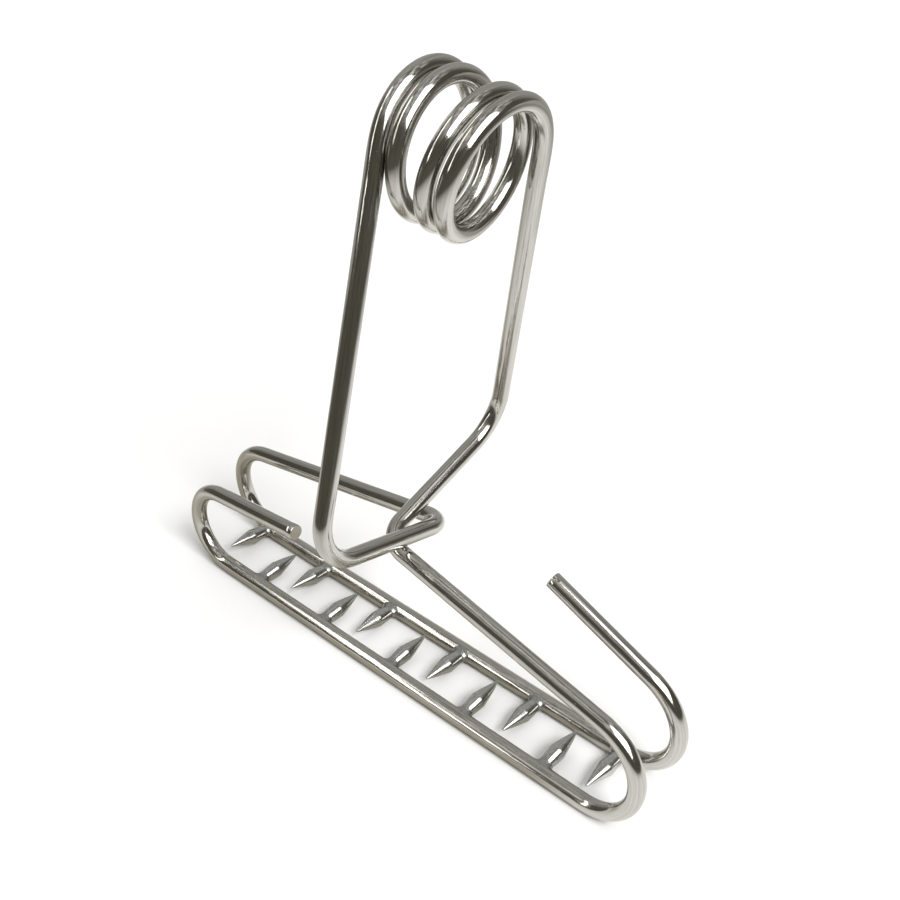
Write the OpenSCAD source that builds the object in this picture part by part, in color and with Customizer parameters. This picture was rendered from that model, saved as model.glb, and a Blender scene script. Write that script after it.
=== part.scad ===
// Spring clamp bent from round stainless wire, with two long jaws and welded spikes.
// Squeezing the crossed arms winds the coil up and opens the jaws.
// Millimetres. Z up, X along the jaws and the coil, Y is the way the jaws open.
// The rails of both jaws stand on z = 0.

/* [Wire] */
// diameter of the spring wire
wire_d = 5; // [3:0.1:6]

/* [Coil] */
// coil radius, to the centre of the wire
coil_r = 17.65; // [12:0.1:24]
// middle of the coil, along the jaws
coil_x = 1.36; // [-10:0.1:10]
// middle of the coil, across the jaws
coil_y = 10.6; // [-15:0.1:15]
// height of the coil's middle
coil_z = 161.65; // [120:0.1:200]
// turn of the coil's axis about the vertical, degrees
coil_yaw = 5.8; // [-15:0.1:15]
// how far the coil's right end hangs down, degrees
coil_dip = 9.6; // [-15:0.1:15]
// advance of the wire in one turn
coil_pitch = 5.96; // [5.2:0.05:9]
// how far the coil sits towards the right of its middle
coil_shift = 4.5; // [-6:0.1:6]
// how far the left turns fan out at the top
left_splay = 4.8; // [0:0.1:8]
// how far the right turns fan out at the top
right_splay = 1.6; // [0:0.1:8]
// angle above the front where the left arm meets the coil
left_start = 20; // [0:1:40]
// angle swept by the wire from arm to arm
coil_sweep = 1232; // [900:1:1500]
// length of arm that is still curving as it leaves the coil
lead_len = 12; // [6:1:20]

/* [Arms] */
// outer corner of the right arm's lower bend
right_bend = [-6.2, 41.2, 65.2];
// outer corner of the left arm's lower bend
left_bend = [6.0, -44.0, 65.0];
// radius of the lower bends, to the centre of the wire
bend_r = 13; // [8:0.5:20]
// radius where a crossbar turns into its jaw
corner_r = 8.5; // [5:0.5:14]

/* [Front jaw] */
// distance of the front rail from the middle
front_y = 11.95; // [8:0.05:16]
// inward lean of the front jaw, degrees
front_lean = 1.8; // [-5:0.1:5]
// start of the front jaw's top bar, along the jaws
front_top_x = -2.8; // [-8:0.1:0]
// slope of the top bar, degrees
front_top_slope = 12.6; // [5:0.1:20]
// middle of the big bend at the top bar's end
front_big_x = 72.4; // [60:0.1:80]
// radius of that bend
front_big_r = 15.9; // [10:0.1:22]
// middle of the bend at the stub's end
front_stub_x = 75.6; // [60:0.1:80]
// radius of that bend
front_stub_r = 13.7; // [10:0.1:22]
// slope of the free stub, degrees
front_stub_slope = 5.9; // [0:0.1:30]
// straight length of the free stub
front_stub_len = 36.4; // [10:0.1:60]

/* [Rear jaw] */
// distance of the rear rail from the middle
rear_y = 10.05; // [8:0.05:16]
// inward lean of the rear jaw, degrees
rear_lean = 1.8; // [-5:0.1:5]
// start of the rear jaw's top bar, along the jaws
rear_top_x = -3.5; // [-8:0.1:0]
// slope of the top bar, degrees
rear_top_slope = 10.7; // [5:0.1:20]
// middle of the big bend at the top bar's end
rear_big_x = 75; // [60:0.1:80]
// radius of that bend
rear_big_r = 16.3; // [10:0.1:22]
// middle of the bend at the stub's end
rear_stub_x = 69.3; // [60:0.1:80]
// radius of that bend
rear_stub_r = 17.6; // [10:0.1:22]
// slope of the free stub, degrees
rear_stub_slope = 23.4; // [0:0.1:30]
// straight length of the free stub
rear_stub_len = 36.8; // [10:0.1:60]

/* [Spikes] */
// spacing of the spikes along the front rail
front_spike_pitch = 29.6; // [20:0.1:40]
// spacing of the spikes along the rear rail
rear_spike_pitch = 29.9; // [20:0.1:40]
// middle of the front row
front_spike_mid = -2.1; // [-10:0.1:10]
// middle of the rear row
rear_spike_mid = -4.65; // [-10:0.1:10]
// length that stands out of the rail
spike_len = 14.9; // [10:0.1:20]
// diameter at the rail
spike_base_d = 3.9; // [2:0.1:5]
// diameter at the widest place
spike_belly_d = 5.04; // [3:0.1:6]
// distance of the widest place from the rail
spike_belly_at = 5.8; // [2:0.1:10]
// fullness of the cone between the widest place and the point
spike_bulge = 0.4; // [0:0.05:1]
// diameter of the blunted point
spike_tip_d = 0.7; // [0.3:0.1:2]
// upward tilt of the first front spike, degrees; it changes evenly along the row
front_tilt_first = 5; // [0:0.5:15]
// upward tilt of the last front spike
front_tilt_last = 9; // [0:0.5:15]
// upward tilt of the first rear spike
rear_tilt_first = 7; // [0:0.5:15]
// upward tilt of the last rear spike
rear_tilt_last = 1; // [0.5:0.5:15]
// diameter of a weld where it leaves the rail
weld_d = 7.4; // [4:0.1:9]
// diameter of a weld where it ends on the spike
weld_top_d = 4.6; // [3:0.1:6]
// height of a weld above the rail
weld_h = 1.5; // [0.5:0.1:3]

/* [Hidden] */
$fn = 48;
wire_r = wire_d / 2;
front_spikes = 5;
rear_spikes = 6;
frame_shift = [1.45, 0.03, 0];
coil_step = 15;
coil_sides = 24;
coil_mid_turn = 1.75;
lead_angle = 30;
left_end = 450;
right_end = 810;
coil_end = left_start + coil_sweep;

// the coil's own axes
coil_ex = [cos(coil_yaw) * cos(coil_dip), sin(coil_yaw) * cos(coil_dip), -sin(coil_dip)];
coil_ez = unit([0, 0, 1] - coil_ex[2] * coil_ex);
coil_ey = cross(coil_ez, coil_ex);

function unit(v) = norm(v) > 0 ? v / norm(v) : [0, 0, 1];
function half_angle(a, b, c) = acos(unit(a - b) * unit(c - b)) / 2;
function reach(a, b, c, r) = r / tan(half_angle(a, b, c));
function bend_from(a, b, c, r) = b + unit(a - b) * reach(a, b, c, r);
function bend_to(a, b, c, r) = b + unit(c - b) * reach(a, b, c, r);
function across(v) = unit(cross(v, abs(v[2]) < 0.8 ? [0, 0, 1] : [1, 0, 0]));

// place of the coil's centre line along its axis, at angle a counted from the front
function coil_fan(a) = (a / 360 < coil_mid_turn ? -left_splay : right_splay) * (1 + sin(a)) / 2;
function coil_along(a) = coil_shift + coil_pitch * (a / 360 - coil_mid_turn) + coil_fan(a);
function coil_point(a) = [coil_x, coil_y, coil_z] + coil_along(a) * coil_ex
    - coil_r * cos(a) * coil_ey + coil_r * sin(a) * coil_ez;
function coil_heading(a) = unit(coil_point(a + 0.5) - coil_point(a - 0.5));

// an easy curve from p, heading along h, to q, where it heads along k
function ease(p, h, q, k, t) =
    pow(1 - t, 3) * p
    + 3 * t * pow(1 - t, 2) * (p + h * norm(q - p) * 0.36)
    + 3 * t * t * (1 - t) * (q - k * norm(q - p) * 0.36)
    + t * t * t * q;

// a point of a jaw: u along the jaw, v up the jaw; the rear jaw is the front one turned half round
function jaw_point(u, v, y, lean) = [u, -y + v * sin(lean), wire_r + v * cos(lean)];
function turned(p) = [-p[0], -p[1], p[2]];
function quarter(slope) = (90 - slope / 2) / 2;
function low_corner(x, r, s, y, lean) = jaw_point(x + r * tan(quarter(s)), 0, y, lean);
function high_corner(x, r, s, y, lean) = jaw_point(
    x + r / cos(quarter(s)) * cos(quarter(s) - s / 2),
    r + r / cos(quarter(s)) * sin(quarter(s) - s / 2), y, lean);
function bar_height(u, x, r, s) = r + r * cos(s) + (x + r * sin(s) - u) * tan(s);
function stub_tip(x, r, s, len, y, lean) = jaw_point(
    -x - r * sin(s) + len * cos(s), r + r * cos(s) + len * sin(s), y, lean);
function flip_u(p) = [-p[0], p[1], p[2]];

// corners of the front jaw, from the crossbar to the stub
front_path = [
    jaw_point(front_top_x, bar_height(front_top_x, front_big_x, front_big_r, front_top_slope),
        front_y, front_lean),
    high_corner(front_big_x, front_big_r, front_top_slope, front_y, front_lean),
    low_corner(front_big_x, front_big_r, front_top_slope, front_y, front_lean),
    flip_u(low_corner(front_stub_x, front_stub_r, front_stub_slope, front_y, front_lean)),
    flip_u(high_corner(front_stub_x, front_stub_r, front_stub_slope, front_y, front_lean)),
    stub_tip(front_stub_x, front_stub_r, front_stub_slope, front_stub_len, front_y, front_lean)
];
rear_path = [
    turned(jaw_point(rear_top_x, bar_height(rear_top_x, rear_big_x, rear_big_r, rear_top_slope),
        rear_y, rear_lean)),
    turned(high_corner(rear_big_x, rear_big_r, rear_top_slope, rear_y, rear_lean)),
    turned(low_corner(rear_big_x, rear_big_r, rear_top_slope, rear_y, rear_lean)),
    turned(flip_u(low_corner(rear_stub_x, rear_stub_r, rear_stub_slope, rear_y, rear_lean))),
    turned(flip_u(high_corner(rear_stub_x, rear_stub_r, rear_stub_slope, rear_y, rear_lean))),
    turned(stub_tip(rear_stub_x, rear_stub_r, rear_stub_slope, rear_stub_len, rear_y, rear_lean))
];

// the arms run straight from just below the coil to their lower bends
left_arm_way = unit(left_bend - coil_point(left_start));
right_arm_way = unit(right_bend - coil_point(coil_end));
left_arm_top = coil_point(left_start) + lead_len * left_arm_way;
right_arm_top = coil_point(coil_end) + lead_len * right_arm_way;

// centre lines of the coil's three lengths
lead_steps = 6;
left_open = left_start + lead_angle;
right_open = coil_end - lead_angle;
left_line = concat(
    [for (i = [0:lead_steps - 1])
        ease(left_arm_top, -left_arm_way, coil_point(left_open), coil_heading(left_open), i / lead_steps)],
    [for (i = [0:ceil((left_end - left_open) / coil_step)])
        coil_point(min(left_end, left_open + i * coil_step))]);
bridge_line = [for (a = [left_end:coil_step:right_end]) coil_point(a)];
right_line = concat(
    [for (i = [0:ceil((right_open - right_end) / coil_step)])
        coil_point(min(right_open, right_end + i * coil_step))],
    [for (i = [1:lead_steps])
        ease(coil_point(right_open), coil_heading(right_open), right_arm_top, right_arm_way,
            i / lead_steps)]);

// wire swept along a row of points, heading along h at its start and k at its end
module swept(line, h, k) {
    n = len(line);
    m = coil_sides;
    way = [for (i = [0:n - 1])
        i == 0 ? h : i == n - 1 ? k : unit(line[i + 1] - line[i - 1])];
    rings = [for (i = [0:n - 1])
        let (u = unit(coil_ex - (coil_ex * way[i]) * way[i]), v = cross(way[i], u))
            for (j = [0:m - 1])
                line[i] + wire_r * cos(j * 360 / m) * u + wire_r * sin(j * 360 / m) * v];
    sides = [for (i = [0:n - 2])
        for (j = [0:m - 1])
            [i * m + j, i * m + (j + 1) % m, (i + 1) * m + (j + 1) % m, (i + 1) * m + j]];
    first = [for (j = [0:m - 1]) m - 1 - j];
    last = [for (j = [0:m - 1]) (n - 1) * m + j];
    faces = [for (f = concat(sides, [first], [last])) [for (i = [len(f) - 1:-1:0]) f[i]]];
    polyhedron(points = rings, faces = faces);
}

// a straight length of wire
module rod(p, q) {
    z = unit(q - p);
    x = across(z);
    y = cross(z, x);
    if (norm(q - p) > 0.02)
        multmatrix([
            [x[0], y[0], z[0], p[0]],
            [x[1], y[1], z[1], p[1]],
            [x[2], y[2], z[2], p[2]],
            [0, 0, 0, 1]])
            cylinder(h = norm(q - p), d = wire_d);
}

// the bend of radius r at corner b, between the lines to a and to c
module bend(a, b, c, r) {
    h = half_angle(a, b, c);
    m = b + unit(unit(a - b) + unit(c - b)) * r / sin(h);
    x = unit(bend_from(a, b, c, r) - m);
    y = unit(b - a);
    z = cross(x, y);
    multmatrix([
        [x[0], y[0], z[0], m[0]],
        [x[1], y[1], z[1], m[1]],
        [x[2], y[2], z[2], m[2]],
        [0, 0, 0, 1]])
        rotate_extrude(angle = 180 - 2 * h)
            translate([r, 0])
                circle(d = wire_d);
}

module steel() {
    color([0.72, 0.72, 0.71])
        translate(frame_shift)
            children();
}

module left_coil_turns() {
    steel() swept(left_line, -left_arm_way, coil_heading(left_end));
}

module coil_bridge_turn() {
    steel() swept(bridge_line, coil_heading(left_end), coil_heading(right_end));
}

module right_coil_turns() {
    steel() swept(right_line, coil_heading(right_end), right_arm_way);
}

module left_arm() {
    steel() rod(left_arm_top, bend_from(left_arm_top, left_bend, rear_path[0], bend_r));
}

module right_arm() {
    steel() rod(right_arm_top, bend_from(right_arm_top, right_bend, front_path[0], bend_r));
}

module left_lower_bend() {
    steel() bend(left_arm_top, left_bend, rear_path[0], bend_r);
}

module right_lower_bend() {
    steel() bend(right_arm_top, right_bend, front_path[0], bend_r);
}

// a crossbar: straight from the arm's bend to the jaw's corner
module crossbar(top, corner, next, after) {
    rod(bend_to(top, corner, next, bend_r), bend_from(corner, next, after, corner_r));
}

module left_crossbar() {
    steel() crossbar(left_arm_top, left_bend, rear_path[0], rear_path[1]);
}

module right_crossbar() {
    steel() crossbar(right_arm_top, right_bend, front_path[0], front_path[1]);
}

module rear_corner_bend() {
    steel() bend(left_bend, rear_path[0], rear_path[1], corner_r);
}

module front_corner_bend() {
    steel() bend(right_bend, front_path[0], front_path[1], corner_r);
}

// the upper bar of a jaw, from its corner at the crossbar to its big bend
module top_bar(corner, path, r) {
    rod(bend_to(corner, path[0], path[1], corner_r), bend_from(path[0], path[1], path[2], r));
}

// a round end of a jaw: the arc of radius r that runs from before corner i to after corner i + 1
module end_bend(path, i, r) {
    p = bend_from(path[i - 1], path[i], path[i + 1], r);
    q = bend_to(path[i], path[i + 1], path[i + 2], r);
    y = unit(path[i] - path[i - 1]);
    z = unit(cross(y, path[i + 1] - path[i]));
    x = cross(y, z);
    m = p - x * r;
    a = 360 - acos(min(1, max(-1, unit(q - m) * x)));
    multmatrix([
        [x[0], y[0], z[0], m[0]],
        [x[1], y[1], z[1], m[1]],
        [x[2], y[2], z[2], m[2]],
        [0, 0, 0, 1]])
        rotate_extrude(angle = (q - m) * y < 0 ? a : 360 - a)
            translate([r, 0])
                circle(d = wire_d);
}

// the rail that carries the spikes
module rail(path, r_in, r_out) {
    rod(bend_to(path[1], path[2], path[3], r_in), bend_from(path[2], path[3], path[4], r_out));
}

// the free end of the wire
module stub(path, r) {
    rod(bend_to(path[3], path[4], path[5], r), path[5]);
}

module front_top_bar() {
    steel() top_bar(right_bend, front_path, front_big_r);
}

module front_right_bend() {
    steel() end_bend(front_path, 1, front_big_r);
}

module front_rail() {
    steel() rail(front_path, front_big_r, front_stub_r);
}

module front_left_bend() {
    steel() end_bend(front_path, 3, front_stub_r);
}

module front_stub() {
    steel() stub(front_path, front_stub_r);
}

module rear_top_bar() {
    steel() top_bar(left_bend, rear_path, rear_big_r);
}

module rear_left_bend() {
    steel() end_bend(rear_path, 1, rear_big_r);
}

module rear_rail() {
    steel() rail(rear_path, rear_big_r, rear_stub_r);
}

module rear_right_bend() {
    steel() end_bend(rear_path, 3, rear_stub_r);
}

module rear_stub() {
    steel() stub(rear_path, rear_stub_r);
}

// how far the wire has risen at x, past a rail's end at x = end, in a bend of radius r
function rise(x, end, r) = abs(x) > end ? r - sqrt(r * r - pow(abs(x) - end, 2)) : 0;
function front_spike_x(i) = front_spike_mid + (i - (front_spikes - 1) / 2) * front_spike_pitch;
function rear_spike_x(i) = rear_spike_mid + (i - (rear_spikes - 1) / 2) * rear_spike_pitch;
function front_tilt(i) = front_tilt_first + (front_tilt_last - front_tilt_first) * i / (front_spikes - 1);
function rear_tilt(i) = rear_tilt_first + (rear_tilt_last - rear_tilt_first) * i / (rear_spikes - 1);
function front_rise(x) = x > 0 ? rise(x, front_big_x, front_big_r) : rise(x, front_stub_x, front_stub_r);
function rear_rise(x) = x < 0 ? rise(x, rear_big_x, rear_big_r) : rise(x, rear_stub_x, rear_stub_r);

// place something on a rail, pointing at the other jaw
module on_front(i) {
    translate([front_spike_x(i), -front_y, wire_r + front_rise(front_spike_x(i))])
        rotate([front_tilt(i) - 90, 0, 0])
            children();
}

module on_rear(i) {
    translate([rear_spike_x(i), rear_y, wire_r + rear_rise(rear_spike_x(i))])
        rotate([90 - rear_tilt(i), 0, 0])
            children();
}

// a point of the spike's outline, from the widest place (t = 0) to the blunted point (t = 1)
function cone_point(t) = [
    (spike_belly_d + (spike_tip_d - spike_belly_d) * t) / 2 + spike_bulge * t * (1 - t),
    wire_r + spike_belly_at + (spike_len - spike_tip_d / 3 - spike_belly_at) * t];

// the spike's turned shape, standing on the rail's centre line
module spike_shape() {
    foot = [[0, 0.5], [spike_base_d / 2, 0.5], [spike_base_d / 2, wire_r]];
    rotate_extrude()
        polygon(concat(foot, [for (i = [0:4]) cone_point(i / 4)], [[0, wire_r + spike_len]]));
}

// the weld round a spike's foot: a flared cone, kept as slim as the rail is thick
module weld_shape() {
    intersection() {
        rotate_extrude()
            polygon([
                [0, 0.5],
                [weld_d / 2, 0.5],
                [weld_d / 2, wire_r - 0.9],
                [weld_d / 2 - 0.9, wire_r - 0.1],
                [weld_top_d / 2, wire_r + weld_h],
                [0, wire_r + weld_h]]);
        translate([0, 0, wire_r - 0.8])
            rotate([0, 90, 0])
                cylinder(r = wire_r - 0.15, h = weld_d + 2, center = true);
    }
}

// the wire that spikes and welds of a jaw stand on
module front_wire() {
    rail(front_path, front_big_r, front_stub_r);
    bend(front_path[1], front_path[2], front_path[3], front_big_r);
    bend(front_path[2], front_path[3], front_path[4], front_stub_r);
}

module rear_wire() {
    rail(rear_path, rear_big_r, rear_stub_r);
    bend(rear_path[1], rear_path[2], rear_path[3], rear_big_r);
    bend(rear_path[2], rear_path[3], rear_path[4], rear_stub_r);
}

module front_spike(i) {
    steel()
        difference() {
            on_front(i) spike_shape();
            front_wire();
        }
}

module rear_spike(i) {
    steel()
        difference() {
            on_rear(i) spike_shape();
            rear_wire();
        }
}

module front_weld(i) {
    steel()
        difference() {
            on_front(i) weld_shape();
            front_wire();
            on_front(i) spike_shape();
        }
}

module rear_weld(i) {
    steel()
        difference() {
            on_rear(i) weld_shape();
            rear_wire();
            on_rear(i) spike_shape();
        }
}

/* [Node] */

left_coil_turns();
coil_bridge_turn();
right_coil_turns();
left_arm();
right_arm();
left_lower_bend();
right_lower_bend();
left_crossbar();
right_crossbar();
front_corner_bend();
rear_corner_bend();
front_top_bar();
front_right_bend();
front_rail();
front_left_bend();
front_stub();
rear_top_bar();
rear_left_bend();
rear_rail();
rear_right_bend();
rear_stub();
front_spike(0);  // front_spike_1
front_spike(1);  // front_spike_2
front_spike(2);  // front_spike_3
front_spike(3);  // front_spike_4
front_spike(4);  // front_spike_5
rear_spike(0);  // rear_spike_1
rear_spike(1);  // rear_spike_2
rear_spike(2);  // rear_spike_3
rear_spike(3);  // rear_spike_4
rear_spike(4);  // rear_spike_5
rear_spike(5);  // rear_spike_6
front_weld(0);  // front_weld_1
front_weld(1);  // front_weld_2
front_weld(2);  // front_weld_3
front_weld(3);  // front_weld_4
front_weld(4);  // front_weld_5
rear_weld(0);  // rear_weld_1
rear_weld(1);  // rear_weld_2
rear_weld(2);  // rear_weld_3
rear_weld(3);  // rear_weld_4
rear_weld(4);  // rear_weld_5
rear_weld(5);  // rear_weld_6
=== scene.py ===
"""The looks of a spiked wire spring clamp: bright drawn wire, turned spikes and small welds.

Lengths are in millimetres until a mesh is made. The wire's centre line and the spikes repeat the
driving dimensions of part.scad, so a change to one of them is made in both files.
"""
import math

import bmesh
import bpy
from mathutils import Matrix, Vector, noise


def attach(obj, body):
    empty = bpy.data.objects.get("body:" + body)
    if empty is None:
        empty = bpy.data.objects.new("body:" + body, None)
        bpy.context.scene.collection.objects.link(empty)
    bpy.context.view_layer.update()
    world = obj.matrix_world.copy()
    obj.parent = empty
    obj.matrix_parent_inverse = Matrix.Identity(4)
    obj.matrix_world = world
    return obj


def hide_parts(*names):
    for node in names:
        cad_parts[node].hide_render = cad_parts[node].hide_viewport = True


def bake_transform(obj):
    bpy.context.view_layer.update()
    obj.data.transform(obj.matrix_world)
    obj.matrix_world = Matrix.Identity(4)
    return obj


MM = 0.001

# ---------------------------------------------------------------- the wire, as in part.scad
WIRE_R = 2.5
FRAME_SHIFT = Vector((1.45, 0.03, 0.0))

COIL_R = 17.65
COIL_MID = Vector((1.36, 10.6, 161.65))
COIL_YAW = 5.8
COIL_DIP = 9.6
COIL_PITCH = 5.96
COIL_SHIFT = 4.5
LEFT_SPLAY = 4.8
RIGHT_SPLAY = 1.6
COIL_START = 20.0
COIL_SWEEP = 1232.0
COIL_MID_TURN = 1.75
LEAD_LEN = 12.0
LEAD_ANGLE = 30.0

RIGHT_BEND = Vector((-6.2, 41.2, 65.2))
LEFT_BEND = Vector((6.0, -44.0, 65.0))
BEND_R = 13.0
CORNER_R = 8.5

FRONT_JAW = dict(y=11.95, lean=1.8, top_x=-2.8, slope=12.6, big_x=72.4, big_r=15.9,
                 stub_x=75.6, stub_r=13.7, stub_slope=5.9, stub_len=36.4)
REAR_JAW = dict(y=10.05, lean=1.8, top_x=-3.5, slope=10.7, big_x=75.0, big_r=16.3,
                stub_x=69.3, stub_r=17.6, stub_slope=23.4, stub_len=36.8)

SPIKE_LEN = 14.9
SPIKE_BASE_R = 1.95
SPIKE_BELLY_R = 2.52
SPIKE_BELLY_AT = 5.8
SPIKE_TIP_R = 0.35
SPIKE_BULGE = 0.4
FRONT_SPIKES = dict(count=5, pitch=29.6, mid=-2.1, first_tilt=5, last_tilt=9)
REAR_SPIKES = dict(count=6, pitch=29.9, mid=-4.65, first_tilt=7, last_tilt=1)

# ---------------------------------------------------------------- how fine the meshes are
SIDES = 48
BEND_STEP = 4.0
COIL_STEP = 3.0
STRAIGHT_STEP = 2.5
SHORTEST_STRAIGHT = 0.05
LEAD_STEPS = 12
LEAD_PULL = 0.36
FEWEST_BEND_STEPS = 4
CUT_BEVEL = 0.2
NECK_STEPS = 8
CONE_STEPS = 40
RIDGED_CONE_STEPS = 96
WELD_STEPS = 10

# ---------------------------------------------------------------- details of the spikes and welds
SUNK_TO = 1.2
FOOT_TAPER = 0.15
NECK_FULLNESS = 0.25
# the softened edge round the belly: distances from it along the spike, and drops in radius there
EDGE_BELOW = 0.35
EDGE_MIDDLE = 0.12
EDGE_ABOVE = 0.4
DROP_BELOW = 0.04
DROP_MIDDLE = 0.01
DROP_ABOVE = 0.07
CONE_STOPS_BEFORE_END = 0.35
# the rounded point: distances before the end, each with its share of the tip's radius
TIP_ROUNDING = ((0.15, 0.85), (0.04, 0.5))

RIDGED_SPIKE = ("rear", 2)
RIDGE_HEIGHT = 0.08
RIDGE_PITCH = 0.8
RIDGE_FADE_IN = 6

WELD_TOP = 4.1
WELD_TOP_R = 2.08
WELD_TOP_HOLLOW = 0.2
WELD_REACH_ALONG = 4.0
WELD_REACH_ROUND = math.radians(74)
WELD_IN_RAIL = 0.03
WELD_UNEVENNESS = 0.07
WELD_LUMPS = 1.5
WELD_TOP_PULL = 0.45
WELD_FOOT_PULL = 0.5
WELD_SEED_STEP = 3.7
REAR_WELD_SEED = 11


def cosd(a):
    return math.cos(math.radians(a))


def sind(a):
    return math.sin(math.radians(a))


def tand(a):
    return math.tan(math.radians(a))


# ---------------------------------------------------------------- centre line of the wire
COIL_EX = Vector((cosd(COIL_YAW) * cosd(COIL_DIP), sind(COIL_YAW) * cosd(COIL_DIP), -sind(COIL_DIP)))
COIL_EZ = (Vector((0, 0, 1)) - COIL_EX.z * COIL_EX).normalized()
COIL_EY = COIL_EZ.cross(COIL_EX)


def coil_along(a):
    """Distance of the coil's centre line along its axis, at angle a counted from the front."""
    splay = -LEFT_SPLAY if a / 360 < COIL_MID_TURN else RIGHT_SPLAY
    return COIL_SHIFT + COIL_PITCH * (a / 360 - COIL_MID_TURN) + splay * (1 + sind(a)) / 2


def coil_point(a):
    return (COIL_MID + coil_along(a) * COIL_EX
            - COIL_R * cosd(a) * COIL_EY + COIL_R * sind(a) * COIL_EZ)


def coil_heading(a):
    return (coil_point(a + 0.5) - coil_point(a - 0.5)).normalized()


def cubic(p, a, b, q, t):
    """A point of the curve from p to q that a and b pull on."""
    return (1 - t) ** 3 * p + 3 * t * (1 - t) ** 2 * a + 3 * t * t * (1 - t) * b + t ** 3 * q


def ease(p, h, q, k, t):
    """A point of the easy curve from p, heading along h, to q, where it heads along k."""
    reach = (q - p).length * LEAD_PULL
    return cubic(p, p + h * reach, q - k * reach, q, t)


def jaw_corners(y, lean, top_x, slope, big_x, big_r, stub_x, stub_r, stub_slope, stub_len):
    """Corners of the front jaw, from the crossbar to the free stub."""
    def point(u, v):
        return Vector((u, -y + v * sind(lean), WIRE_R + v * cosd(lean)))

    def quarter(s):
        return (90 - s / 2) / 2

    def low(x, r, s, side):
        return point(side * (x + r * tand(quarter(s))), 0)

    def high(x, r, s, side):
        far = r / cosd(quarter(s))
        return point(side * (x + far * cosd(quarter(s) - s / 2)), r + far * sind(quarter(s) - s / 2))

    bar_height = big_r + big_r * cosd(slope) + (big_x + big_r * sind(slope) - top_x) * tand(slope)
    tip = point(-stub_x - stub_r * sind(stub_slope) + stub_len * cosd(stub_slope),
                stub_r + stub_r * cosd(stub_slope) + stub_len * sind(stub_slope))
    return [point(top_x, bar_height), high(big_x, big_r, slope, 1), low(big_x, big_r, slope, 1),
            low(stub_x, stub_r, stub_slope, -1), high(stub_x, stub_r, stub_slope, -1), tip]


def half_turned(p):
    return Vector((-p.x, -p.y, p.z))


def straight(p, q):
    """Points from p to just short of q. Two bends that meet have nothing between them."""
    length = (q - p).length
    if length < SHORTEST_STRAIGHT:
        return []
    n = max(1, round(length / STRAIGHT_STEP))
    return [p.lerp(q, i / n) for i in range(n)]


def rounded(corners, radii):
    """Points along a run of straight lengths joined by bends of the given radii."""
    line, start = [], corners[0]
    for a, b, c, r in zip(corners, corners[1:], corners[2:], radii):
        u, w = (a - b).normalized(), (c - b).normalized()
        half = u.angle(w) / 2
        turn = math.pi - 2 * half
        middle = b + (u + w).normalized() * r / math.sin(half)
        first = b + u * r / math.tan(half)
        x, y = (first - middle).normalized(), -u
        line += straight(start, first)
        n = max(FEWEST_BEND_STEPS, round(math.degrees(turn) / BEND_STEP))
        line += [middle + r * (math.cos(turn * i / n) * x + math.sin(turn * i / n) * y) for i in range(n)]
        start = b + w * r / math.tan(half)
    return line + straight(start, corners[-1]) + [corners[-1]]


def whole_wire():
    """The wire's centre line in three runs that share their ends.

    They are the rear jaw and left arm, the coil, and the right arm and front jaw.
    """
    coil_end = COIL_START + COIL_SWEEP
    left_way = (LEFT_BEND - coil_point(COIL_START)).normalized()
    right_way = (RIGHT_BEND - coil_point(coil_end)).normalized()
    left_top = coil_point(COIL_START) + LEAD_LEN * left_way
    right_top = coil_point(coil_end) + LEAD_LEN * right_way
    front = jaw_corners(**FRONT_JAW)
    rear = [half_turned(p) for p in jaw_corners(**REAR_JAW)]

    left = rounded(rear[::-1] + [LEFT_BEND, left_top],
                   [REAR_JAW["stub_r"]] * 2 + [REAR_JAW["big_r"]] * 2 + [CORNER_R, BEND_R])
    right = rounded([right_top, RIGHT_BEND] + front,
                    [BEND_R, CORNER_R] + [FRONT_JAW["big_r"]] * 2 + [FRONT_JAW["stub_r"]] * 2)

    opening, closing = COIL_START + LEAD_ANGLE, coil_end - LEAD_ANGLE
    turns = round((closing - opening) / COIL_STEP)
    coil = [ease(left_top, -left_way, coil_point(opening), coil_heading(opening), i / LEAD_STEPS)
            for i in range(LEAD_STEPS)]
    coil += [coil_point(opening + (closing - opening) * i / turns) for i in range(turns)]
    coil += [ease(coil_point(closing), coil_heading(closing), right_top, right_way, i / LEAD_STEPS)
             for i in range(LEAD_STEPS + 1)]
    return [[p + FRAME_SHIFT for p in run] for run in (left, coil, right)]


# ---------------------------------------------------------------- meshes
def new_object(name, data):
    obj = bpy.data.objects.new(name, data)
    bpy.context.scene.collection.objects.link(obj)
    return obj


def new_mesh(name, points, faces, material, sharp=()):
    """An object made of points in millimetres, smooth but for the edges in sharp."""
    mesh = bpy.data.meshes.new(name)
    mesh.from_pydata([p * MM for p in points], [], faces)
    mesh.validate()
    mesh.shade_smooth()
    if sharp:
        marks = {tuple(sorted(e)) for e in sharp}
        attribute = mesh.attributes.new("sharp_edge", "BOOLEAN", "EDGE")
        for edge in mesh.edges:
            attribute.data[edge.index].value = tuple(sorted(edge.vertices)) in marks
    mesh.materials.append(material)
    return new_object(name, mesh)


def set_coordinates(obj, values):
    """Writes each vertex's place on its piece, in millimetres, for the materials to read."""
    attribute = obj.data.attributes.new("place", "FLOAT_VECTOR", "POINT")
    attribute.data.foreach_set("vector", [c for v in values for c in v])


def ring_faces(rings):
    """The faces that join a stack of rings of SIDES points."""
    return [(i * SIDES + j, i * SIDES + (j + 1) % SIDES,
             (i + 1) * SIDES + (j + 1) % SIDES, (i + 1) * SIDES + j)
            for i in range(rings - 1) for j in range(SIDES)]


def cap_faces(middle, start):
    """The faces from a middle point to the ring that begins at start."""
    return [(middle, start + j, start + (j + 1) % SIDES) for j in range(SIDES)]


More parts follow.
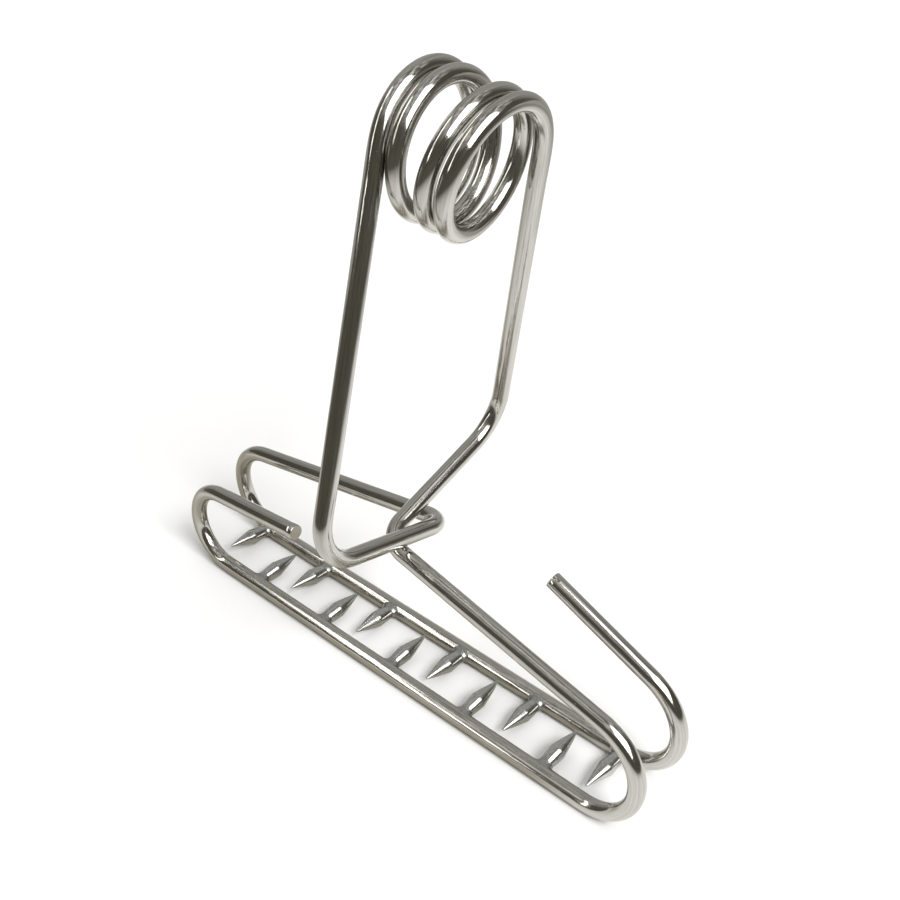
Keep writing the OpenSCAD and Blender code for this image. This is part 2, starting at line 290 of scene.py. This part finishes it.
def tube_frames(line):
    """A heading and a sideways direction for each point, turned along the line without twist."""
    headings = []
    for i, p in enumerate(line):
        a, b = line[max(0, i - 1)], line[min(len(line) - 1, i + 1)]
        headings.append((b - a).normalized())
    side = headings[0].orthogonal().normalized()
    frames = []
    for i, heading in enumerate(headings):
        if i:
            side = headings[i - 1].rotation_difference(heading) @ side
            side = (side - side.dot(heading) * heading).normalized()
        frames.append((heading, side))
    return frames


def tube(name, rings, material):
    """A closed tube through rings of (centre, heading, side, distance along, radius)."""
    points, places, sharp = [], [], []
    for centre, heading, side, along, radius in rings:
        other = heading.cross(side)
        for j in range(SIDES):
            a = 2 * math.pi * j / SIDES
            out = math.cos(a) * side + math.sin(a) * other
            points.append(centre + radius * out)
            places.append((WIRE_R * math.cos(a), WIRE_R * math.sin(a), along))
    faces = ring_faces(len(rings))
    last = (len(rings) - 1) * SIDES
    for start, ring in ((0, rings[0]), (last, rings[-1])):
        cap = cap_faces(len(points), start)
        points.append(ring[0])
        places.append((0, 0, ring[3]))
        sharp += [(a, b) for middle, a, b in cap]
        faces += cap if start else [(middle, b, a) for middle, a, b in cap]
    obj = new_mesh(name, points, faces, material, sharp)
    set_coordinates(obj, places)
    return obj


def cut_end(rings, first):
    """Adds a small bevel to the cut face at one end of a tube's rings."""
    centre, heading, side, along, radius = rings[0] if first else rings[-1]
    step = CUT_BEVEL if first else -CUT_BEVEL
    inner = (centre + step * heading, heading, side, along + step, radius)
    outer = (centre, heading, side, along, radius - CUT_BEVEL)
    return [outer, inner] + rings[1:] if first else rings[:-1] + [inner, outer]


def wire_pieces(material):
    """The wire's three runs as tubes. They share their end rings, so the wire shows no seam."""
    left, coil, right = whole_wire()
    line = left + coil[1:] + right[1:]
    frames = tube_frames(line)
    rings, along = [], 0.0
    for i, (p, (heading, side)) in enumerate(zip(line, frames)):
        along += (p - line[i - 1]).length if i else 0.0
        rings.append((p, heading, side, along, WIRE_R))
    a, b = len(left) - 1, len(left) + len(coil) - 2
    return (tube("wire_left_lever", cut_end(rings[:a + 1], True), material),
            tube("wire_coil", rings[a:b + 1], material),
            tube("wire_right_lever", cut_end(rings[b:], False), material))


# ---------------------------------------------------------------- spikes and welds
def rise(jaw, x):
    """How far the wire has risen at x, beyond the end of a jaw's straight rail."""
    end, r = (jaw["big_x"], jaw["big_r"]) if x > 0 else (jaw["stub_x"], jaw["stub_r"])
    beyond = max(0.0, abs(x) - end)
    return r - math.sqrt(r * r - beyond * beyond)


class Seat:
    """Where a spike stands: the rail's centre line at its foot, and the directions round it."""

    def __init__(self, jaw, row, index, toward):
        last = row["count"] - 1
        tilt = row["first_tilt"] + (row["last_tilt"] - row["first_tilt"]) * index / last
        x = row["mid"] + (index - last / 2) * row["pitch"]
        self.foot = Vector((x, -toward * jaw["y"], WIRE_R + rise(jaw, toward * x))) + FRAME_SHIFT
        self.axis = Vector((0, toward * cosd(tilt), sind(tilt)))
        self.along = Vector((1, 0, 0))
        self.across = self.axis.cross(self.along) * toward

    def around(self, a):
        return math.cos(a) * self.along + math.sin(a) * self.across


def spike_profile(ridged):
    """Distance from the rail's centre line and radius, from the foot to the blunted point."""
    belly = WIRE_R + SPIKE_BELLY_AT
    end = WIRE_R + SPIKE_LEN
    neck_length = belly - EDGE_BELOW - WIRE_R
    neck_growth = SPIKE_BELLY_R - DROP_BELOW - SPIKE_BASE_R
    profile = [(SUNK_TO, SPIKE_BASE_R - FOOT_TAPER), (WIRE_R, SPIKE_BASE_R)]
    for i in range(1, NECK_STEPS + 1):
        t = i / NECK_STEPS
        grown = (1 + NECK_FULLNESS) * t - NECK_FULLNESS * t * t
        profile.append((WIRE_R + neck_length * t, SPIKE_BASE_R + neck_growth * grown))
    profile += [(belly + side * EDGE_MIDDLE, SPIKE_BELLY_R - DROP_MIDDLE) for side in (-1, 1)]

    cone_start = belly + EDGE_ABOVE
    cone_length = end - CONE_STOPS_BEFORE_END - cone_start
    cone_r = SPIKE_BELLY_R - DROP_ABOVE
    steps = RIDGED_CONE_STEPS if ridged else CONE_STEPS
    for i in range(1, steps + 1):
        t = i / steps
        d = cone_start + cone_length * t
        r = cone_r + (SPIKE_TIP_R - cone_r) * t + SPIKE_BULGE * t * (1 - t)
        if ridged:
            wave = math.sin(2 * math.pi * (d - belly) / RIDGE_PITCH)
            r += RIDGE_HEIGHT * wave * min(1, RIDGE_FADE_IN * t)
        profile.append((d, r))
    return profile + [(end - before, SPIKE_TIP_R * share) for before, share in TIP_ROUNDING]


def piece_on_seat(name, seat, points, places, ends, material):
    """A closed piece of rings stacked along a spike's axis, capped at the two distances in ends."""
    rings = len(points) // SIDES
    faces = ring_faces(rings)
    for start, d in zip((0, (rings - 1) * SIDES), ends):
        faces += cap_faces(len(points), start)
        points.append(seat.foot + d * seat.axis)
        places.append((0, 0, d))
    obj = new_mesh(name, points, faces, material)
    set_coordinates(obj, places)
    face_outward(obj)
    return obj


def spike(name, seat, material, ridged):
    """A pin turned from bar: a double cone with a blunted point."""
    points, places = [], []
    for d, r in spike_profile(ridged):
        for j in range(SIDES):
            a = 2 * math.pi * j / SIDES
            points.append(seat.foot + d * seat.axis + r * seat.around(a))
            places.append((r * math.cos(a), r * math.sin(a), d))
    return piece_on_seat(name, seat, points, places, (SUNK_TO, WIRE_R + SPIKE_LEN), material)


def weld_point(seat, a, t, seed):
    """A point of a weld's surface at angle a, from its top (t = 0) to its edge on the rail (t = 1)."""
    lump = noise.noise(Vector((WELD_LUMPS * math.cos(a), WELD_LUMPS * math.sin(a), seed)))
    uneven = 1 + WELD_UNEVENNESS * lump
    reach = WELD_REACH_ALONG * uneven
    turn = WELD_REACH_ROUND * uneven * math.sin(a)
    radial = math.cos(turn) * seat.axis + math.sin(turn) * seat.across
    round_way = -math.sin(turn) * seat.axis + math.cos(turn) * seat.across
    foot = seat.foot + reach * math.cos(a) * seat.along + (WIRE_R - WELD_IN_RAIL) * radial
    top = seat.foot + WELD_TOP * seat.axis + WELD_TOP_R * seat.around(a)
    outward = (reach * math.cos(a) * seat.along
               + WELD_REACH_ROUND * WIRE_R * math.sin(a) * round_way).normalized()
    gap = (foot - top).length
    return cubic(top, top - WELD_TOP_PULL * gap * seat.axis, foot - WELD_FOOT_PULL * gap * outward, foot, t)


def weld(name, seat, material, seed):
    """A small fillet of weld metal that flares from the spike's foot onto the rail."""
    points = [weld_point(seat, 2 * math.pi * j / SIDES, i / WELD_STEPS, seed)
              for i in range(WELD_STEPS + 1) for j in range(SIDES)]
    places = [tuple(p - seat.foot) for p in points]
    return piece_on_seat(name, seat, points, places, (WELD_TOP - WELD_TOP_HOLLOW, SUNK_TO), material)


def face_outward(obj):
    b = bmesh.new()
    b.from_mesh(obj.data)
    bmesh.ops.recalc_face_normals(b, faces=b.faces)
    b.to_mesh(obj.data)
    b.free()


# ---------------------------------------------------------------- materials
class Nodes:
    """A node tree, with short ways to add nodes and joins."""

    def __init__(self, tree):
        self.tree = tree

    def put(self, socket, value):
        """Joins a socket to another one, or sets its value."""
        if isinstance(value, bpy.types.NodeSocket):
            self.tree.links.new(value, socket)
        else:
            socket.default_value = value

    def add(self, kind, inputs=None, **settings):
        node = self.tree.nodes.new(kind)
        for key, value in settings.items():
            setattr(node, key, value)
        for key, value in (inputs or {}).items():
            self.put(node.inputs[key], value)
        return node

    def place(self, scale):
        """The vertices' places, stretched by scale on each axis."""
        source = self.add("ShaderNodeAttribute", attribute_name="place")
        mapping = self.add("ShaderNodeMapping", {"Vector": source.outputs["Vector"], "Scale": scale})
        return mapping.outputs["Vector"]

    def noise(self, vector, scale, detail=3.0, roughness=0.5):
        node = self.add("ShaderNodeTexNoise", {"Vector": vector, "Scale": scale, "Detail": detail,
                                               "Roughness": roughness})
        return node.outputs["Fac"]

    def ramp(self, value, low, high, to_low=0, to_high=1, kind="SMOOTHSTEP"):
        node = self.add("ShaderNodeMapRange", {"Value": value, "From Min": low, "From Max": high,
                                               "To Min": to_low, "To Max": to_high},
                        interpolation_type=kind)
        return node.outputs["Result"]

    def dot(self, a, b):
        return self.add("ShaderNodeVectorMath", {0: a, 1: b}, operation="DOT_PRODUCT").outputs["Value"]

    def math(self, operation, *values):
        return self.add("ShaderNodeMath", dict(enumerate(values)), operation=operation).outputs["Value"]

    def bump(self, height, distance, under=None):
        inputs = {"Height": height, "Distance": distance, "Strength": 1.0}
        if under is not None:
            inputs["Normal"] = under
        return self.add("ShaderNodeBump", inputs).outputs["Normal"]

    def mix(self, factor, a, b):
        return self.add("ShaderNodeMix", {0: factor, 6: a, 7: b}, data_type="RGBA").outputs[2]


class Surface(Nodes):
    """The nodes of a new material."""

    def __init__(self, name):
        self.material = bpy.data.materials.new(name)
        self.material.use_nodes = True
        super().__init__(self.material.node_tree)
        self.shader = self.tree.nodes["Principled BSDF"]

    def set(self, **sockets):
        for key, value in sockets.items():
            self.put(self.shader.inputs[key.replace("_", " ")], value)


# depths of the bumps, in metres
WANDER_DEPTH = 0.00006
BROAD_LINE_DEPTH = 0.000026
LINE_DEPTH = 0.00001
NICK_DEPTH = 0.000012
RING_DEPTH = 0.000006
LUMP_DEPTH = 0.00012
GRAIN_DEPTH = 0.000006


def wire_material():
    """Bright drawn wire: long fine draw lines, a few nicks and a slight warm tint."""
    n = Surface("drawn_stainless_wire")
    lines = n.noise(n.place((1, 1, 0.02)), scale=5.0, detail=4.0, roughness=0.65)
    broad_lines = n.noise(n.place((1, 1, 0.03)), scale=1.7, roughness=0.6)
    wander = n.noise(n.place((0.25, 0.25, 0.06)), scale=1.0, detail=1.0)
    nicks = n.noise(n.place((1, 1, 0.6)), scale=2.6, detail=2.0, roughness=0.6)
    streaks = n.noise(n.place((1, 1, 0.02)), scale=3.0, detail=4.0, roughness=0.7)
    bright, dull = (0.60, 0.59, 0.57, 1), (0.48, 0.465, 0.43, 1)
    normal = n.bump(wander, WANDER_DEPTH)
    normal = n.bump(broad_lines, BROAD_LINE_DEPTH, normal)
    normal = n.bump(lines, LINE_DEPTH, normal)
    normal = n.bump(n.ramp(nicks, 0.72, 0.80), -NICK_DEPTH, normal)
    n.set(Base_Color=n.mix(n.ramp(streaks, 0.38, 0.62), bright, dull), Metallic=1.0,
          Roughness=n.ramp(lines, 0.35, 0.7, 0.06, 0.18), Normal=normal)
    return n.material


def spike_material():
    """Turned steel: fine rings round the axis."""
    n = Surface("turned_stainless_spike")
    rings = n.noise(n.place((0.05, 0.05, 1)), scale=9.0, detail=2.0, roughness=0.6)
    patches = n.noise(n.place((1, 1, 1)), scale=1.1, detail=2.0)
    bright, dull = (0.62, 0.62, 0.61, 1), (0.54, 0.54, 0.53, 1)
    n.set(Base_Color=n.mix(n.ramp(patches, 0.35, 0.65), bright, dull), Metallic=1.0,
          Roughness=n.ramp(rings, 0.3, 0.7, 0.12, 0.24), Normal=n.bump(rings, RING_DEPTH))
    return n.material


def weld_material():
    """Weld metal: duller than the wire, with a soft unevenness."""
    n = Surface("weld_metal_satin")
    lumps = n.noise(n.place((1, 1, 1)), scale=0.9, roughness=0.55)
    grain = n.noise(n.place((1, 1, 1)), scale=12.0, detail=2.0)
    bright, dull = (0.48, 0.48, 0.465, 1), (0.42, 0.42, 0.41, 1)
    normal = n.bump(lumps, LUMP_DEPTH)
    normal = n.bump(grain, GRAIN_DEPTH, normal)
    n.set(Base_Color=n.mix(n.ramp(lumps, 0.35, 0.65), bright, dull), Metallic=1.0,
          Roughness=n.ramp(lumps, 0.3, 0.7, 0.2, 0.36), Normal=normal)
    return n.material


def table_material():
    """White card with a faint unevenness."""
    n = Surface("white_table")
    paper = n.noise(n.add("ShaderNodeTexCoord").outputs["Object"], scale=3.0, detail=2.0)
    tint = n.mix(paper, (0.90, 0.90, 0.90, 1), (0.88, 0.88, 0.875, 1))
    n.set(Base_Color=tint, Roughness=0.9, Specular_IOR_Level=0.1)
    return n.material


def painted_table_reflection_material():
    """A painted reflection of the table, seen only in the steel: its painted light and painted shade fade
    into painted room colours, and it has painted shade by the rails.

    It is laid out in metres from the middle of the clamp, whatever the camera looks at.
    """
    n = Surface("painted_table_reflection")
    place = n.add("ShaderNodeTexCoord").outputs["Object"]
    distance = n.add("ShaderNodeVectorMath", {0: place}, operation="LENGTH").outputs["Value"]
    # painted light and painted shade of the table's reflection: lit to the right, a painted shadow to the
    # front and left, and a darker, warmer painted shade by the rails
    lit, shaded, painted_rail_shade = (0.90, 0.895, 0.885, 1), (0.70, 0.69, 0.67, 1), (0.46, 0.435, 0.37, 1)
    # painted reflection of the room beyond the table: dark, and paler behind on the left
    painted_dark_room, painted_pale_room = (0.09, 0.083, 0.066, 1), (0.37, 0.37, 0.35, 1)

    def out_towards(azimuth):
        return n.dot(place, toward(azimuth, 0))

    # painted shadow: the reflected table goes from lit to shaded towards the front and left
    tint = n.mix(n.ramp(out_towards(-20), -0.03, 0.12), lit, shaded)
    # painted shade where the rails stand: a darker, warmer band along the clamp's middle
    rail_shade_across = n.ramp(n.math("ABSOLUTE", out_towards(0)), 0.022, 0.05, 1, 0)
    rail_shade_along = n.ramp(out_towards(90), 0.05, 0.08, 1, 0)
    tint = n.mix(n.math("MULTIPLY", rail_shade_across, rail_shade_along), tint, painted_rail_shade)
    # the painted light of the table fades with distance into the painted room colours
    beyond = n.mix(n.ramp(out_towards(BACK_LEFT), 0.0, 0.3), painted_dark_room, painted_pale_room)
    tint = n.mix(n.ramp(distance, PAINTED_FADE_START, PAINTED_FADE_END), tint, beyond)
    n.set(Base_Color=tint, Roughness=0.9, Specular_IOR_Level=0.1)
    return n.material


# ---------------------------------------------------------------- studio
# metres, watts and degrees; an azimuth counts from the front towards the right
LIGHTS_AIM_AT = Vector((0.0, 0.0, 0.08))
KEY_AZIMUTH = 78
KEY_ELEVATION = 44
BACK_LEFT = -142
TABLE_HALF_WIDTH = 4.0
# where the table's painted light fades into the painted room colours, in metres from the middle of the
# clamp
PAINTED_FADE_START = 0.12
PAINTED_FADE_END = 0.44
MIRRORED_TABLE_LIFT = 0.00005
CEILING_SCALE = 6.5


def toward(azimuth, elevation):
    """The direction at an azimuth counted from the front towards the right, and an elevation."""
    return Vector((sind(azimuth) * cosd(elevation), -cosd(azimuth) * cosd(elevation), sind(elevation)))


def softbox(name, azimuth, elevation, distance, size, power, roll=0.0, colour=(1, 1, 1)):
    """A soft rectangular light that faces the clamp and shows in the steel."""
    data = bpy.data.lights.new(name, "AREA")
    data.shape = "RECTANGLE"
    data.size, data.size_y = size
    data.energy = power
    data.color = colour
    lamp = new_object(name, data)
    way = toward(azimuth, elevation)
    lamp.matrix_world = (Matrix.Translation(LIGHTS_AIM_AT + distance * way)
                         @ way.to_track_quat("Z", "Y").to_matrix().to_4x4()
                         @ Matrix.Rotation(math.radians(roll), 4, "Z"))
    lamp.visible_diffuse = False
    lamp.visible_camera = False


def wide_sun(name, azimuth, elevation, energy, angle):
    """Even light for the table. It isn't mirrored in the steel."""
    data = bpy.data.lights.new(name, "SUN")
    data.energy = energy
    data.angle = math.radians(angle)
    lamp = new_object(name, data)
    lamp.rotation_euler = toward(azimuth, elevation).to_track_quat("Z", "Y").to_euler()
    lamp.visible_glossy = False


def slab(name, outline, z, material):
    """A flat piece of the table's surface."""
    mesh = bpy.data.meshes.new(name)
    mesh.from_pydata([(x, y, z) for x, y in outline], [], [tuple(range(len(outline)))])
    mesh.materials.append(material)
    obj = new_object(name, mesh)
    return obj


def room():
    """A dim warm room, paler behind on the left and overhead.

    The camera sees a plain white background in its place.
    """
    world = bpy.data.worlds.new("room")
    bpy.context.scene.world = world
    world.use_nodes = True
    n = Nodes(world.node_tree)
    n.tree.nodes.clear()
    way = n.add("ShaderNodeTexCoord").outputs["Generated"]
    dark, grey, white = (0.105, 0.098, 0.078, 1), (0.42, 0.42, 0.40, 1), (1, 1, 1, 1)
    ceiling_dark, ceiling_bright = (0.13, 0.125, 0.11, 1), (0.95, 0.94, 0.92, 1)

    def glow(direction, inner, outer):
        """1 within inner degrees of a direction and 0 beyond outer."""
        return n.ramp(n.dot(way, direction), cosd(outer), cosd(inner))

    patches = n.noise(way, scale=CEILING_SCALE, detail=2.0)
    ceiling = n.mix(n.ramp(patches, 0.46, 0.56, kind="LINEAR"), ceiling_dark, ceiling_bright)
    colour = n.mix(glow(toward(0, 90), inner=30, outer=62), dark, ceiling)
    colour = n.mix(glow(toward(BACK_LEFT, 20), inner=25, outer=70), colour, grey)
    path = n.add("ShaderNodeLightPath")
    colour = n.mix(path.outputs["Is Camera Ray"], colour, white)
    background = n.add("ShaderNodeBackground", {"Color": colour})
    n.add("ShaderNodeOutputWorld", {"Surface": background.outputs["Background"]})


def studio():
    """The room, the table and the lights. Light for the table and light for the steel are separate."""
    room()
    w = TABLE_HALF_WIDTH
    square = [(-w, -w), (w, -w), (w, w), (-w, w)]
    table = slab("table", square, 0.0, table_material())
    table.visible_glossy = False
    # a plane seen only in the steel, coloured as a painted reflection of the table's light and shade and of
    # the room
    mirrored = slab("painted_reflection_table", square, MIRRORED_TABLE_LIFT, painted_table_reflection_material())
    mirrored.visible_camera = False
    mirrored.visible_diffuse = False
    mirrored.visible_shadow = False
    softbox("key_softbox", KEY_AZIMUTH, KEY_ELEVATION, distance=1.0, size=(0.88, 0.80), power=12, roll=35)
    softbox("left_strip", -42, 34, distance=1.6, size=(0.14, 1.7), power=3.7, roll=38,
            colour=(1, 0.985, 0.94))
    wide_sun("even_fill", 0, 90, energy=0.8, angle=110)
    wide_sun("even_key", KEY_AZIMUTH, KEY_ELEVATION, energy=3.0, angle=26)


CAMERA_AZIMUTH = 42.07
CAMERA_ELEVATION = 34.44
CAMERA_ROLL = 0.51
CAMERA_DISTANCE = 0.3424
CAMERA_TARGET = Vector((0.01794, -0.00460, 0.08776))
CAMERA_LENS = 52.57
SENSOR_WIDTH = 36


def camera():
    data = bpy.data.cameras.new("camera")
    data.lens = CAMERA_LENS
    data.sensor_width = SENSOR_WIDTH
    data.clip_start, data.clip_end = 0.01, 20
    obj = new_object("camera", data)
    back = toward(CAMERA_AZIMUTH, CAMERA_ELEVATION)
    right = Vector((cosd(CAMERA_AZIMUTH), sind(CAMERA_AZIMUTH), 0))
    up = back.cross(right)
    right = cosd(CAMERA_ROLL) * right + sind(CAMERA_ROLL) * up
    up = back.cross(right)
    turn = Matrix((right, up, back)).transposed().to_4x4()
    obj.matrix_world = Matrix.Translation(CAMERA_TARGET + CAMERA_DISTANCE * back) @ turn
    bpy.context.scene.camera = obj


# ---------------------------------------------------------------- the scene
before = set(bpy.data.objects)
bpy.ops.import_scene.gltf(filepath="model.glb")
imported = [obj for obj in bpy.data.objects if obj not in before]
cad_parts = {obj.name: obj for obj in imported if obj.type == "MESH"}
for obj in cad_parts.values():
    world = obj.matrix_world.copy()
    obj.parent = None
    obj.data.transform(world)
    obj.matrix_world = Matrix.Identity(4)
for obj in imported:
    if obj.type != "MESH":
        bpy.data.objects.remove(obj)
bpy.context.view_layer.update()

bpy.context.scene.view_settings.view_transform = "Standard"
camera()
studio()

wire = wire_material()
turned = spike_material()
fused = weld_material()

left_wire, coil_wire, right_wire = wire_pieces(wire)
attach(left_wire, "left_lever")
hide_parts("left_arm", "left_lower_bend", "left_crossbar", "rear_corner_bend", "rear_top_bar",
            "rear_left_bend", "rear_rail", "rear_right_bend", "rear_stub")
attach(right_wire, "right_lever")
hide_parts("right_arm", "right_lower_bend", "right_crossbar", "front_corner_bend",
            "front_top_bar", "front_right_bend", "front_rail", "front_left_bend", "front_stub")
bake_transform(coil_wire)
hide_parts("left_coil_turns", "coil_bridge_turn", "right_coil_turns")

for jaw, row, side, way, body in ((FRONT_JAW, FRONT_SPIKES, "front", 1, "right_lever"),
                                  (REAR_JAW, REAR_SPIKES, "rear", -1, "left_lever")):
    for i in range(row["count"]):
        seat = Seat(jaw, row, i, way)
        pin = spike(f"{side}_spike_pin_{i + 1}", seat, turned, ridged=(side, i) == RIDGED_SPIKE)
        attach(pin, body)
        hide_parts(f"{side}_spike_{i + 1}")
        seed = WELD_SEED_STEP * i + (REAR_WELD_SEED if side == "rear" else 0)
        fillet = weld(f"{side}_weld_fillet_{i + 1}", seat, fused, seed)
        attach(fillet, body)
        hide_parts(f"{side}_weld_{i + 1}")
